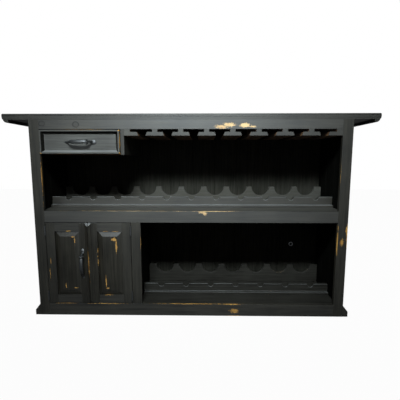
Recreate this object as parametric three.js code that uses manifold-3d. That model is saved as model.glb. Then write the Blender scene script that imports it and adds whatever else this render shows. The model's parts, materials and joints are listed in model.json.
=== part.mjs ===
// Rustic bar counter with shelves, seen and used from the bartender's side.
// Millimetres, +Z up, +X to the right for the bartender, -Y towards the bartender.
// The origin is on the floor, under the middle of the counter's box.

import * as THREE from "three";
import { mergeVertices } from "three/addons/utils/BufferGeometryUtils.js";
import { ConvexGeometry } from "three/addons/geometries/ConvexGeometry.js";
import Module from "manifold-3d";

// Driving dimensions of the counter top
const TOP_LENGTH = 1900;
const TOP_DEPTH = 520;
const BAR_HEIGHT = 1067;
const TOP_THICK = 29;
const NOSE_CROWN = 5;
const NOSE_DROP = 8;
const NOSE_BELLY = 14;
const NOSE_UNDERCUT = 6.5;
const NOSE_STEPS = 3;
const EDGE_MOULDING_INSET = 6;
const EDGE_MOULDING_WIDTH = 24;
const EDGE_MOULDING_HEIGHT = 16;
const EDGE_MOULDING_STEPS = 5;

// Driving dimensions of the case
const CASE_WIDTH = 1633;
const CASE_DEPTH = 390;
const FRAME_THICK = 20;
const SIDE_THICK = 30;
const BACK_THICK = 20;
const SHELF_THICK = 18;
const STILE_WIDTH = 52;
const TOP_RAIL_HEIGHT = 47.5;
const MID_RAIL_HEIGHT = 61;
const MID_SHELF_HEIGHT = 573;
const BOTTOM_RAIL_HEIGHT = 66;
const MULLION_WIDTH = 50;
const PARTITION_THICK = 18;
const BASE_OUT = 27;
const BASE_STEP = 28;
const BASE_HEIGHT = 62;
const MITRE_GAP = 0.3;

// Driving dimensions of the stemware rack
const RUNNER_FLANGE = 94;
const RUNNER_SLOPE = 7;
const RUNNER_STEM = 27;
const RUNNER_FLANGE_THICK = 18.5;
const SLOT_HEIGHT = 14;
const SLOT_NECK = 37;
const END_STEM = 30;
const LEAST_END_FLANGE = 45;

// Driving dimensions of the bottle racks
const BODY_RADIUS = 53;
const NECK_RADIUS = 18;
const UPPER_POST = 32.6;
const LOWER_POST = 37.7;
const UPPER_REAR_WEB = 46;
const LOWER_REAR_WEB = 59;
const FRONT_WEB = 40;
const RACK_THICK = 20;
const FRONT_RACK_SETBACK = 145;
const REAR_RACK_GAP = 25;
const RACK_LIP_DEPTH = 18;
const RACK_LIP_HEIGHT = 14;
const LEAST_RACK_END = 20;
const SEAT_STEPS = 10;

// Driving dimensions of the cupboard doors
const DOOR_OPENING_WIDTH = 453.5;
const DOOR_THICK = 19.5;
const DOOR_GAP = 2.5;
const SEAM_GAP = 3;
const DOOR_MEMBER = 46.5;
const GROOVE_SETBACK = 10;
const GROOVE_WIDTH = 6;
const GROOVE_DEPTH = 9;
const PANEL_PLAY = 0.5;
const PANEL_BEVEL = 27;
const PANEL_RIM = 1.5;
const PANEL_SETBACK = 0.5;
const RIDGE_HALF_WIDTH = 16.5;
const RIDGE_PROUD = 11;
const RIDGE_INSET = 1.5;
const RIDGE_EMBED = 2;
const DOOR_STOP_THICK = 16;
const DOOR_STOP_DROP = 15;

// Driving dimensions of the butt hinges
const HINGE_HEIGHT = 50;
const HINGE_END_INSET = 42;
const KNUCKLE_RADIUS = 4;
const KNUCKLE_PROUD = 4.4;
const KNUCKLE_GAP = 0.3;
const PIN_RADIUS = 2;
const PIN_PLAY = 0.3;
const LEAF_THICK = 1;
const LEAF_DEPTH = 16;
const ROUND_SIDES = 16;

// Driving dimensions of the drawer
const DRAWER_OPENING_WIDTH = 413.5;
const DRAWER_OPENING_HEIGHT = 128.5;
const DRAWER_GAP = 3;
const DIVIDER_THICK = 18;
const DRAWER_FRONT_THICK = 18;
const DRAWER_FRONT_DROP = 4;
const DRAWER_FLOOR_THICK = 14;
const DRAWER_RUN_GAP = 0.5;
const DRAWER_BOX_GAP = 4;
const DRAWER_SIDE_THICK = 12;
const DRAWER_SIDE_HEIGHT = 90;
const DRAWER_BACK_ROOM = 22;
const DRAWER_BOTTOM_THICK = 6;
const DRAWER_BOTTOM_RISE = 8;
const MOULDING_WIDTH = 25;
const MOULDING_PROUD = 10;
const MOULDING_STEP = 4;

// Driving dimensions of the forged pulls
const PULL_LENGTH = 165;
const PULL_REACH = 38;
const PULL_BAR_WIDTH = 20;
const PULL_BAR_THICK = 11;
const PULL_FOOT_LENGTH = 30;
const PULL_FOOT_WIDTH = 12;
const PULL_FOOT_THICK = 5;
const PULL_SHOULDER = 26;
const PULL_ROSE_RADIUS = 12;
const PULL_COLLAR_RADIUS = 12;
const PULL_COLLAR_THICK = 6;
const PULL_COLLAR_REACH = 44;
const PULL_STEPS = 20;
const PULL_SIDES = 8;

// Planes and levels that the pieces share
const FRONT = (PULL_REACH - TOP_DEPTH) / 2;
const TOP_BACK = FRONT + TOP_DEPTH;
const CASE_BACK = FRONT + CASE_DEPTH;
const BACK_INNER = CASE_BACK - BACK_THICK;
const BEHIND_FRAME = FRONT + FRAME_THICK;
const CASE_TOP = BAR_HEIGHT - TOP_THICK;
const CASE_HALF = CASE_WIDTH / 2;
const STILE_INNER = CASE_HALF - STILE_WIDTH;
const WALL_INNER = CASE_HALF - SIDE_THICK;
const TOP_RAIL_UNDER = CASE_TOP - TOP_RAIL_HEIGHT;
const MID_RAIL_UNDER = MID_SHELF_HEIGHT - MID_RAIL_HEIGHT;
const MID_SHELF_UNDER = MID_SHELF_HEIGHT - SHELF_THICK;
const FLOOR_UNDER = BOTTOM_RAIL_HEIGHT - SHELF_THICK;
const MULLION_LEFT = -STILE_INNER + DOOR_OPENING_WIDTH;
const MULLION_RIGHT = MULLION_LEFT + MULLION_WIDTH;
const PARTITION_LEFT = (MULLION_LEFT + MULLION_RIGHT - PARTITION_THICK) / 2;
const PARTITION_RIGHT = PARTITION_LEFT + PARTITION_THICK;
const DIVIDER_LEFT = -STILE_INNER + DRAWER_OPENING_WIDTH;
const DIVIDER_RIGHT = DIVIDER_LEFT + DIVIDER_THICK;
const DIVIDER_UNDER = TOP_RAIL_UNDER - DRAWER_OPENING_HEIGHT;

// Finishes
const paint = new THREE.MeshStandardMaterial({ color: 0x2b2b29, roughness: 0.62, metalness: 0 });
const bareWood = new THREE.MeshStandardMaterial({ color: 0x6b4b32, roughness: 0.75, metalness: 0 });
const iron = new THREE.MeshStandardMaterial({ color: 0x1b1a19, roughness: 0.5, metalness: 0.7 });

const wasm = await Module();
wasm.setup();

const counter = new THREE.Group();
counter.name = "bar_counter";

// Adds one named piece to the counter.
function addPiece(name, geometry, material) {
  geometry.computeVertexNormals();
  const mesh = new THREE.Mesh(geometry, material);
  mesh.name = name;
  counter.add(mesh);
  return mesh;
}

// A closed solid for joining and cutting, from a closed geometry.
function toSolid(geometry) {
  const bare = geometry.clone();
  bare.deleteAttribute("normal");
  bare.deleteAttribute("uv");
  const merged = mergeVertices(bare);
  const vertProperties = new Float32Array(merged.attributes.position.array);
  const triVerts = new Uint32Array(merged.index.array);
  const mesh = new wasm.Mesh({ numProp: 3, vertProperties, triVerts });
  return new wasm.Manifold(mesh);
}

// The geometry of a joined or cut solid.
function toGeometry(solid) {
  const mesh = solid.getMesh();
  const geometry = new THREE.BufferGeometry();
  const positions = new THREE.BufferAttribute(new Float32Array(mesh.vertProperties), 3);
  geometry.setAttribute("position", positions);
  geometry.setIndex(new THREE.BufferAttribute(new Uint32Array(mesh.triVerts), 1));
  return geometry.toNonIndexed();
}

// Several geometries joined into one solid piece.
function joined(geometries) {
  const solids = geometries.map(toSolid);
  return toGeometry(solids.reduce((whole, next) => whole.add(next)));
}

// A board between two corners.
function board(x0, x1, y0, y1, z0, z1) {
  const geometry = new THREE.BoxGeometry(x1 - x0, y1 - y0, z1 - z0);
  return geometry.translate((x0 + x1) / 2, (y0 + y1) / 2, (z0 + z1) / 2);
}

function outlineShape(points) {
  return new THREE.Shape(points.map(([u, v]) => new THREE.Vector2(u, v)));
}

const FLAT = { bevelEnabled: false };

// An outline in Y and Z, run along X.
function runAlongX(points, x0, x1) {
  const geometry = new THREE.ExtrudeGeometry(outlineShape(points), { ...FLAT, depth: x1 - x0 });
  const turn = new THREE.Matrix4().makeBasis(
    new THREE.Vector3(0, 1, 0),
    new THREE.Vector3(0, 0, 1),
    new THREE.Vector3(1, 0, 0),
  );
  return geometry.applyMatrix4(turn).translate(x0, 0, 0);
}

// A shape in X and Z, run along Y.
function runAlongY(shape, y0, y1, curveSegments) {
  const geometry = new THREE.ExtrudeGeometry(shape, { ...FLAT, depth: y1 - y0, curveSegments });
  return geometry.rotateX(Math.PI / 2).translate(0, y1, 0);
}

// An outline in X and Y, run along Z.
function runAlongZ(points, z0, z1) {
  const geometry = new THREE.ExtrudeGeometry(outlineShape(points), { ...FLAT, depth: z1 - z0 });
  return geometry.translate(0, 0, z0);
}

function hull(points) {
  return new ConvexGeometry(points.map(([x, y, z]) => new THREE.Vector3(x, y, z)));
}

// A moulding along one side of the counter, mitred at the customer's corner.
// The profile holds [distance out from the carrying face, height] pairs.
function sideMoulding(side, half, back, profile) {
  const points = profile.flatMap(([out, z]) => [
    [side * (half + out), FRONT, z],
    [side * (half + out), back + out - MITRE_GAP, z],
  ]);
  return hull(points);
}

// The moulding along the customer's side, mitred at both ends.
function customerMoulding(half, back, profile) {
  const points = profile.flatMap(([out, z]) => [
    [-half - out, back + out, z],
    [half + out, back + out, z],
  ]);
  return hull(points);
}

// Counter top: square at the bartender's edge, a rounded nose on the other three.
function barTop() {
  const nose = [];
  const belly = TOP_THICK - NOSE_BELLY;
  for (let step = 0; step <= NOSE_STEPS; step += 1) {
    const angle = (step / NOSE_STEPS) * (Math.PI / 2);
    const [rise, run] = [Math.sin(angle), 1 - Math.cos(angle)];
    nose.push([NOSE_CROWN * (1 - rise), BAR_HEIGHT - NOSE_DROP * run]);
    nose.push([NOSE_UNDERCUT * run, CASE_TOP + belly * (1 - rise)]);
  }
  const half = TOP_LENGTH / 2;
  return hull(
    nose.flatMap(([inset, z]) => [
      [-half + inset, FRONT, z],
      [half - inset, FRONT, z],
      [-half + inset, TOP_BACK - inset, z],
      [half - inset, TOP_BACK - inset, z],
    ]),
  );
}

// Quarter-round strip under the edge of the top: [distance out, height] pairs.
function quarterRound() {
  const inner = EDGE_MOULDING_INSET + EDGE_MOULDING_WIDTH;
  const profile = [[-inner, CASE_TOP]];
  for (let step = 0; step <= EDGE_MOULDING_STEPS; step += 1) {
    const angle = (step / EDGE_MOULDING_STEPS) * (Math.PI / 2);
    const inset = inner - EDGE_MOULDING_WIDTH * Math.cos(angle);
    profile.push([-inset, CASE_TOP - EDGE_MOULDING_HEIGHT * Math.sin(angle)]);
  }
  return profile;
}

function addTop() {
  const strip = quarterRound();
  const half = TOP_LENGTH / 2;
  addPiece("bar_top", barTop(), paint);
  addPiece("end_moulding_left", sideMoulding(-1, half, TOP_BACK, strip), paint);
  addPiece("end_moulding_right", sideMoulding(1, half, TOP_BACK, strip), paint);
  addPiece("customer_moulding", customerMoulding(half, TOP_BACK, strip), paint);
}

function addCase() {
  const left = [-CASE_HALF, -WALL_INNER];
  const right = [WALL_INNER, CASE_HALF];
  addPiece("side_panel_left", board(...left, BEHIND_FRAME, BACK_INNER, 0, CASE_TOP), paint);
  addPiece("side_panel_right", board(...right, BEHIND_FRAME, BACK_INNER, 0, CASE_TOP), paint);
  addPiece("customer_panel", board(-CASE_HALF, CASE_HALF, BACK_INNER, CASE_BACK, 0, CASE_TOP), paint);
  const inside = [-WALL_INNER, WALL_INNER, BEHIND_FRAME, BACK_INNER];
  addPiece("mid_shelf", board(...inside, MID_SHELF_UNDER, MID_SHELF_HEIGHT), paint);
  addPiece("floor_board", board(...inside, FLOOR_UNDER, BOTTOM_RAIL_HEIGHT), paint);
  const partition = [PARTITION_LEFT, PARTITION_RIGHT, BEHIND_FRAME, BACK_INNER];
  addPiece("partition", board(...partition, BOTTOM_RAIL_HEIGHT, MID_SHELF_UNDER), paint);
}

// The face frame on the bartender's side.
function addFaceFrame() {
  const depth = [FRONT, BEHIND_FRAME];
  addPiece("left_stile", board(-CASE_HALF, -STILE_INNER, ...depth, 0, CASE_TOP), paint);
  addPiece("right_stile", board(STILE_INNER, CASE_HALF, ...depth, 0, CASE_TOP), paint);
  const between = [-STILE_INNER, STILE_INNER, ...depth];
  addPiece("top_rail", board(...between, TOP_RAIL_UNDER, CASE_TOP), paint);
  addPiece("bottom_rail", board(...between, 0, BOTTOM_RAIL_HEIGHT), paint);
  const rail = board(...between, MID_RAIL_UNDER, MID_SHELF_HEIGHT);
  const stopFront = BEHIND_FRAME - FRAME_THICK / 2;
  const stopBack = BEHIND_FRAME + DOOR_STOP_THICK;
  const stopReach = [-STILE_INNER, MULLION_LEFT];
  const rebate = board(...stopReach, stopFront, stopBack, MID_RAIL_UNDER, MID_SHELF_UNDER);
  const stopLow = MID_RAIL_UNDER - DOOR_STOP_DROP;
  const stop = board(...stopReach, BEHIND_FRAME, stopBack, stopLow, MID_SHELF_UNDER);
  addPiece("mid_rail", joined([rail, rebate, stop]), paint);
  const upright = [MULLION_LEFT, MULLION_RIGHT, ...depth];
  addPiece("mullion", board(...upright, BOTTOM_RAIL_HEIGHT, MID_RAIL_UNDER), paint);
}

// Base moulding round the two ends and the customer's side.
function addBaseMoulding() {
  const profile = [
    [0, 0],
    [BASE_OUT, 0],
    [BASE_OUT, BASE_STEP],
    [0, BASE_HEIGHT],
  ];
  addPiece("base_moulding_left", sideMoulding(-1, CASE_HALF, CASE_BACK, profile), paint);
  addPiece("base_moulding_right", sideMoulding(1, CASE_HALF, CASE_BACK, profile), paint);
  addPiece("base_moulding_customer", customerMoulding(CASE_HALF, CASE_BACK, profile), paint);
}

// The side view of what hangs from the top and passes under the top rail: [y, z] pairs.
function hangingOutline(under) {
  return [
    [FRONT, under],
    [BACK_INNER, under],
    [BACK_INNER, CASE_TOP],
    [BEHIND_FRAME, CASE_TOP],
    [BEHIND_FRAME, TOP_RAIL_UNDER],
    [FRONT, TOP_RAIL_UNDER],
  ];
}

// Runners of T section with sloping flanges, and one of L section at each end, for glasses' feet.
function addGlassRack() {
  const flangeTop = TOP_RAIL_UNDER - SLOT_HEIGHT;
  const flangeUnder = flangeTop - RUNNER_FLANGE_THICK;
  const bay = STILE_INNER - DIVIDER_RIGHT;
  const pitch = RUNNER_FLANGE + SLOT_NECK;
  const slots = Math.floor((bay - 2 * LEAST_END_FLANGE + RUNNER_FLANGE) / pitch);
  const endFlange = (bay - slots * pitch + RUNNER_FLANGE) / 2;
  const outline = hangingOutline(flangeUnder);
  for (let index = 0; index <= slots; index += 1) {
    const centre = DIVIDER_RIGHT + endFlange + (index - 0.5) * pitch + SLOT_NECK / 2;
    let flange = [centre - RUNNER_FLANGE / 2, centre + RUNNER_FLANGE / 2];
    let stem = [centre - RUNNER_STEM / 2, centre + RUNNER_STEM / 2];
    if (index === 0) {
      flange = [DIVIDER_RIGHT, DIVIDER_RIGHT + endFlange];
      stem = [DIVIDER_RIGHT, DIVIDER_RIGHT + END_STEM];
    }
    if (index === slots) {
      flange = [STILE_INNER - endFlange, STILE_INNER];
      stem = [STILE_INNER - END_STEM, STILE_INNER];
    }
    const section = outlineShape([
      [flange[0], flangeUnder],
      [flange[1], flangeUnder],
      [flange[1] - (index === slots ? 0 : RUNNER_SLOPE), flangeTop],
      [flange[0] + (index === 0 ? 0 : RUNNER_SLOPE), flangeTop],
    ]);
    const foot = runAlongY(section, FRONT, BACK_INNER, 1);
    addPiece(`glass_runner_${index + 1}`, joined([runAlongX(outline, ...stem), foot]), bareWood);
  }
}

// A rack rail's outline in X and Z: a board with a row of round seats cut into its top edge.
function rackShape(x0, x1, under, web, radius, pitch) {
  const reach = x1 - x0 - 2 * LEAST_RACK_END - 2 * BODY_RADIUS;
  const count = Math.floor(reach / pitch) + 1;
  const first = (x0 + x1 - (count - 1) * pitch) / 2;
  const top = under + web + radius;
  const shape = new THREE.Shape();
  shape.moveTo(x0, under);
  shape.lineTo(x1, under);
  shape.lineTo(x1, top);
  for (let index = count - 1; index >= 0; index -= 1) {
    const centre = first + index * pitch;
    shape.lineTo(centre + radius, top);
    shape.absarc(centre, top, radius, 0, -Math.PI, true);
  }
  shape.lineTo(x0, top);
  return shape;
}

// One bottle rack: a low neck rail with a lip at its foot, and a tall body rail behind it.
function addBottleRack(name, x0, x1, under, rearWeb, post) {
  const pitch = 2 * BODY_RADIUS + post;
  const neckFront = FRONT + FRONT_RACK_SETBACK;
  const neckShape = rackShape(x0, x1, under, FRONT_WEB, NECK_RADIUS, pitch);
  const neckRail = runAlongY(neckShape, neckFront, neckFront + RACK_THICK, SEAT_STEPS);
  const lipBack = neckFront + RACK_THICK / 2;
  const lip = board(x0, x1, neckFront - RACK_LIP_DEPTH, lipBack, under, under + RACK_LIP_HEIGHT);
  addPiece(`${name}_neck_rail`, joined([neckRail, lip]), paint);
  const bodyFront = BACK_INNER - REAR_RACK_GAP - RACK_THICK;
  const bodyShape = rackShape(x0, x1, under, rearWeb, BODY_RADIUS, pitch);
  addPiece(`${name}_body_rail`, runAlongY(bodyShape, bodyFront, bodyFront + RACK_THICK, SEAT_STEPS), paint);
}

// A forged pull lying along X, its feet on the plane y = 0, its bar standing out towards -Y.
// It has a flat tail at the left, and a collar and a round rose at the right.
function forgedPull() {
  const footReach = (PULL_LENGTH - PULL_FOOT_LENGTH) / 2;
  const barDepth = PULL_REACH - PULL_BAR_THICK / 2;
  const at = (x, y) => new THREE.Vector3(x, y, 0);
  const rooted = -PULL_FOOT_THICK / 2;
  const shoulder = footReach - PULL_SHOULDER;
  const path = new THREE.CurvePath();
  path.add(new THREE.QuadraticBezierCurve3(
    at(-footReach, rooted),
    at(-footReach, -barDepth),
    at(-shoulder, -barDepth),
  ));
  path.add(new THREE.LineCurve3(at(-shoulder, -barDepth), at(shoulder, -barDepth)));
  path.add(new THREE.QuadraticBezierCurve3(
    at(shoulder, -barDepth),
    at(footReach, -barDepth),
    at(footReach, rooted),
  ));
  const ring = [];
  for (let side = 0; side < PULL_SIDES; side += 1) {
    const angle = ((side + 0.5) / PULL_SIDES) * 2 * Math.PI;
    ring.push([(PULL_BAR_WIDTH / 2) * Math.cos(angle), (PULL_BAR_THICK / 2) * Math.sin(angle)]);
  }
  const options = { ...FLAT, steps: PULL_STEPS, extrudePath: path };
  const bar = new THREE.ExtrudeGeometry(outlineShape(ring), options);
  const tail = new THREE.BoxGeometry(PULL_FOOT_LENGTH, PULL_FOOT_THICK, PULL_FOOT_WIDTH);
  tail.translate(-footReach, rooted, 0);
  const rose = new THREE.CylinderGeometry(PULL_ROSE_RADIUS, PULL_ROSE_RADIUS, PULL_FOOT_THICK, ROUND_SIDES);
  rose.translate(PULL_LENGTH / 2 - PULL_ROSE_RADIUS, rooted, 0);
  const [collarRadius, collarThick] = [PULL_COLLAR_RADIUS, PULL_COLLAR_THICK];
  const collar = new THREE.CylinderGeometry(collarRadius, collarRadius, collarThick, ROUND_SIDES);
  collar.rotateZ(Math.PI / 2).translate(PULL_COLLAR_REACH, collarRadius - PULL_REACH, 0);
  return joined([bar, tail, rose, collar]);
}

// One butt hinge: side is -1 where the frame is to the left of the door, +1 to its right.
// The frame leaf carries the pin and the outer knuckles, the door leaf the middle knuckle.
function hingeLeaves(side, frameFace, middle) {
  const axisX = frameFace - (side * DOOR_GAP) / 2;
  const axisY = FRONT - KNUCKLE_PROUD;
  const low = middle - HINGE_HEIGHT / 2;
  const high = middle + HINGE_HEIGHT / 2;
  const third = HINGE_HEIGHT / 3;
  const tabBack = FRONT + LEAF_THICK;
  const plateBack = FRONT + LEAF_DEPTH;
  const span = (a, b) => [Math.min(a, b), Math.max(a, b)];
  const barrel = (radius, z0, z1) =>
    new THREE.CylinderGeometry(radius, radius, z1 - z0, ROUND_SIDES)
      .rotateX(Math.PI / 2)
      .translate(axisX, axisY, (z0 + z1) / 2);
  const frameX = span(frameFace, frameFace - side * LEAF_THICK);
  const doorFace = frameFace - side * DOOR_GAP;
  const doorX = span(doorFace, doorFace + side * LEAF_THICK);
  const frameLeaf = joined([
    board(...frameX, FRONT, plateBack, low, high),
    board(...frameX, axisY, tabBack, low, low + third),
    board(...frameX, axisY, tabBack, high - third, high),
    barrel(KNUCKLE_RADIUS, low, low + third),
    barrel(KNUCKLE_RADIUS, high - third, high),
    barrel(PIN_RADIUS, low + third / 2, high - third / 2),
  ]);
  const doorLow = low + third + KNUCKLE_GAP;
  const doorHigh = high - third - KNUCKLE_GAP;
  const doorBody = joined([
    board(...doorX, FRONT, plateBack, low, high),
    board(...doorX, axisY, tabBack, doorLow, doorHigh),
    barrel(KNUCKLE_RADIUS, doorLow, doorHigh),
  ]);
  const bore = barrel(PIN_RADIUS + PIN_PLAY, low, high);
  const doorLeaf = toGeometry(toSolid(doorBody).subtract(toSolid(bore)));
  return { frameLeaf, doorLeaf };
}

// A door's stile: a board grooved along its inner edge for the panel and the rails' tongues.
function groovedStile(outer, inner, z0, z1) {
  const deep = inner + Math.sign(outer - inner) * GROOVE_DEPTH;
  const grooveFront = FRONT + GROOVE_SETBACK;
  const grooveBack = grooveFront + GROOVE_WIDTH;
  const back = FRONT + DOOR_THICK;
  const outline = [
    [outer, FRONT],
    [inner, FRONT],
    [inner, grooveFront],
    [deep, grooveFront],
    [deep, grooveBack],
    [inner, grooveBack],
    [inner, back],
    [outer, back],
  ];
  return runAlongZ(outline, z0, z1);
}

// A door's rail: grooved like the stiles, with a tongue at each end that fills their grooves.
function tonguedRail(x0, x1, outer, inner) {
  const deep = inner + Math.sign(outer - inner) * GROOVE_DEPTH;
  const grooveFront = FRONT + GROOVE_SETBACK;
  const grooveBack = grooveFront + GROOVE_WIDTH;
  const back = FRONT + DOOR_THICK;
  const outline = [
    [FRONT, outer],
    [FRONT, inner],
    [grooveFront, inner],
    [grooveFront, deep],
    [grooveBack, deep],
    [grooveBack, inner],
    [back, inner],
    [back, outer],
  ];
  const tongue = GROOVE_DEPTH - PANEL_PLAY;
  const tongueDepth = [grooveFront + PANEL_PLAY, grooveBack - PANEL_PLAY];
  const tongueHeight = [Math.min(outer, deep), Math.max(outer, deep)];
  const tongues = board(x0 - tongue, x1 + tongue, ...tongueDepth, ...tongueHeight);
  return joined([runAlongX(outline, x0, x1), tongues]);
}

// A raised panel: a thin tongue all round that floats in the grooves, and a bevelled field.
function raisedPanel(x0, x1, z0, z1) {
  const tongue = GROOVE_DEPTH - PANEL_PLAY;
  const plateFront = FRONT + GROOVE_SETBACK + PANEL_PLAY;
  const plateBack = FRONT + GROOVE_SETBACK + GROOVE_WIDTH - PANEL_PLAY;
  const plate = board(x0 - tongue, x1 + tongue, plateFront, plateBack, z0 - tongue, z1 + tongue);
  const corners = (inset, y) => [
    [x0 + inset, y, z0 + inset],
    [x1 - inset, y, z0 + inset],
    [x1 - inset, y, z1 - inset],
    [x0 + inset, y, z1 - inset],
  ];
  const field = hull([
    ...corners(PANEL_PLAY, (plateFront + plateBack) / 2),
    ...corners(PANEL_PLAY, plateFront - PANEL_RIM),
    ...corners(PANEL_BEVEL, FRONT + PANEL_SETBACK),
  ]);
  return joined([plate, field]);
}

// Half of the ridge that covers the seam between the doors, hipped at both ends.
function halfRidge(outer, seam, z0, z1) {
  const corners = (y) => [
    [outer, y, z0],
    [seam, y, z0],
    [seam, y, z1],
    [outer, y, z1],
  ];
  return hull([
    ...corners(FRONT + RIDGE_EMBED),
    ...corners(FRONT),
    [seam, FRONT - RIDGE_PROUD, z0 + RIDGE_HALF_WIDTH],
    [seam, FRONT - RIDGE_PROUD, z1 - RIDGE_HALF_WIDTH],
  ]);
}

// One door between its hinge edge and its meeting edge, with its two hinges.
function addDoor(name, side, frameFace, meeting) {
  const low = BOTTOM_RAIL_HEIGHT + DOOR_GAP;
  const high = MID_RAIL_UNDER - DOOR_GAP;
  const hinged = frameFace - side * DOOR_GAP;
  const hingeInner = hinged - side * DOOR_MEMBER;
  const meetingInner = meeting + side * DOOR_MEMBER;
  addPiece(`${name}_hinge_stile`, groovedStile(hinged, hingeInner, low, high), paint);
  const ridgeOuter = meeting + side * RIDGE_HALF_WIDTH;
  const ridge = halfRidge(ridgeOuter, meeting, low + RIDGE_INSET, high - RIDGE_INSET);
  const meetingStile = joined([groovedStile(meeting, meetingInner, low, high), ridge]);
  addPiece(`${name}_meeting_stile`, meetingStile, paint);
  const x0 = Math.min(hingeInner, meetingInner);
  const x1 = Math.max(hingeInner, meetingInner);
  const railLow = low + DOOR_MEMBER;
  const railHigh = high - DOOR_MEMBER;
  addPiece(`${name}_top_rail`, tonguedRail(x0, x1, high, railHigh), paint);
  addPiece(`${name}_bottom_rail`, tonguedRail(x0, x1, low, railLow), paint);
  addPiece(`${name}_panel`, raisedPanel(x0, x1, railLow, railHigh), paint);
  const places = { upper: high - HINGE_END_INSET, lower: low + HINGE_END_INSET };
  for (const [place, middle] of Object.entries(places)) {
    const { frameLeaf, doorLeaf } = hingeLeaves(side, frameFace, middle);
    addPiece(`${name}_frame_leaf_${place}`, frameLeaf, iron);
    addPiece(`${name}_door_leaf_${place}`, doorLeaf, iron);
  }
}

function addDoors() {
  const seam = (MULLION_LEFT - STILE_INNER) / 2;
  const leftMeeting = seam - SEAM_GAP / 2;
  addDoor("left_door", -1, -STILE_INNER, leftMeeting);
  addDoor("right_door", 1, MULLION_LEFT, seam + SEAM_GAP / 2);
  const pull = addPiece("door_pull", forgedPull(), iron);
  pull.rotation.y = -Math.PI / 2;
  const grip = leftMeeting - (DOOR_MEMBER + RIDGE_HALF_WIDTH) / 2;
  const middle = (BOTTOM_RAIL_HEIGHT + MID_RAIL_UNDER) / 2;
  pull.position.set(grip, FRONT, middle);
}

// The mitred moulding on the drawer's face, in two steps.
function drawerMoulding(x0, x1, z0, z1) {
  const ring = (outerInset, innerInset, y0, y1) => {
    const rectangle = (inset) => [
      [x0 + inset, z0 + inset],
      [x1 - inset, z0 + inset],
      [x1 - inset, z1 - inset],
      [x0 + inset, z1 - inset],
    ];
    const shape = outlineShape(rectangle(outerInset));
    shape.holes.push(outlineShape(rectangle(innerInset)));
    return runAlongY(shape, y0, y1, 1);
  };
  const step = FRONT - MOULDING_PROUD / 2;
  const low = ring(0, MOULDING_WIDTH, step, FRONT);
  const high = ring(MOULDING_STEP, MOULDING_WIDTH - MOULDING_STEP, FRONT - MOULDING_PROUD, FRONT);
  return joined([low, high]);
}

// The drawer, the divider beside it and the floor that it runs on.
function addDrawer() {
  const divider = runAlongX(hangingOutline(DIVIDER_UNDER), DIVIDER_LEFT, DIVIDER_RIGHT);
  addPiece("drawer_divider", divider, paint);
  const frontLow = DIVIDER_UNDER + DRAWER_FRONT_DROP;
  const floorTop = frontLow + DRAWER_FLOOR_THICK;
  const floor = board(-WALL_INNER, DIVIDER_LEFT, BEHIND_FRAME, BACK_INNER, frontLow, floorTop);
  addPiece("drawer_floor", floor, bareWood);
  const x0 = -STILE_INNER + DRAWER_GAP;
  const x1 = DIVIDER_LEFT - DRAWER_GAP;
  const high = TOP_RAIL_UNDER - DRAWER_GAP;
  const frontBack = FRONT + DRAWER_FRONT_THICK;
  addPiece("drawer_front", board(x0, x1, FRONT, frontBack, frontLow, high), paint);
  addPiece("drawer_moulding", drawerMoulding(x0, x1, frontLow, high), paint);
  const boxLeft = -STILE_INNER + DRAWER_BOX_GAP;
  const boxRight = DIVIDER_LEFT - DRAWER_BOX_GAP;
  const innerLeft = boxLeft + DRAWER_SIDE_THICK;
  const innerRight = boxRight - DRAWER_SIDE_THICK;
  const boxBack = BACK_INNER - DRAWER_BACK_ROOM;
  const backFront = boxBack - DRAWER_SIDE_THICK;
  const boxLow = floorTop + DRAWER_RUN_GAP;
  const boxHigh = boxLow + DRAWER_SIDE_HEIGHT;
  addPiece("drawer_side_left", board(boxLeft, innerLeft, frontBack, boxBack, boxLow, boxHigh), bareWood);
  addPiece("drawer_side_right", board(innerRight, boxRight, frontBack, boxBack, boxLow, boxHigh), bareWood);
  addPiece("drawer_back", board(innerLeft, innerRight, backFront, boxBack, boxLow, boxHigh), bareWood);
  const bottomLow = boxLow + DRAWER_BOTTOM_RISE;
  const bottom = [innerLeft, innerRight, frontBack, backFront, bottomLow, bottomLow + DRAWER_BOTTOM_THICK];
  addPiece("drawer_bottom", board(...bottom), bareWood);
  const pull = addPiece("drawer_pull", forgedPull(), iron);
  pull.position.set((x0 + x1) / 2, FRONT, (frontLow + high) / 2);
}

addTop();
addCase();
addFaceFrame();
addBaseMoulding();
addDrawer();
addGlassRack();
addBottleRack("upper_rack", -WALL_INNER, WALL_INNER, MID_SHELF_HEIGHT, UPPER_REAR_WEB, UPPER_POST);
addBottleRack("lower_rack", PARTITION_RIGHT, WALL_INNER, BOTTOM_RAIL_HEIGHT, LOWER_REAR_WEB, LOWER_POST);
addDoors();

export default counter;
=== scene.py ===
# %% [markdown]
# This lesson dresses a rustic bar counter. The construction comes as a fixed frame of boards, doors,
# hinges and a drawer, already at real size. The counter could be modelled again from nothing, but then
# the two models would drift apart, so each piece here takes its shape or its place from the frame.

# %% Load the frame
import json
import math

import bmesh
import bpy
from mathutils import Matrix, Vector


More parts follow.
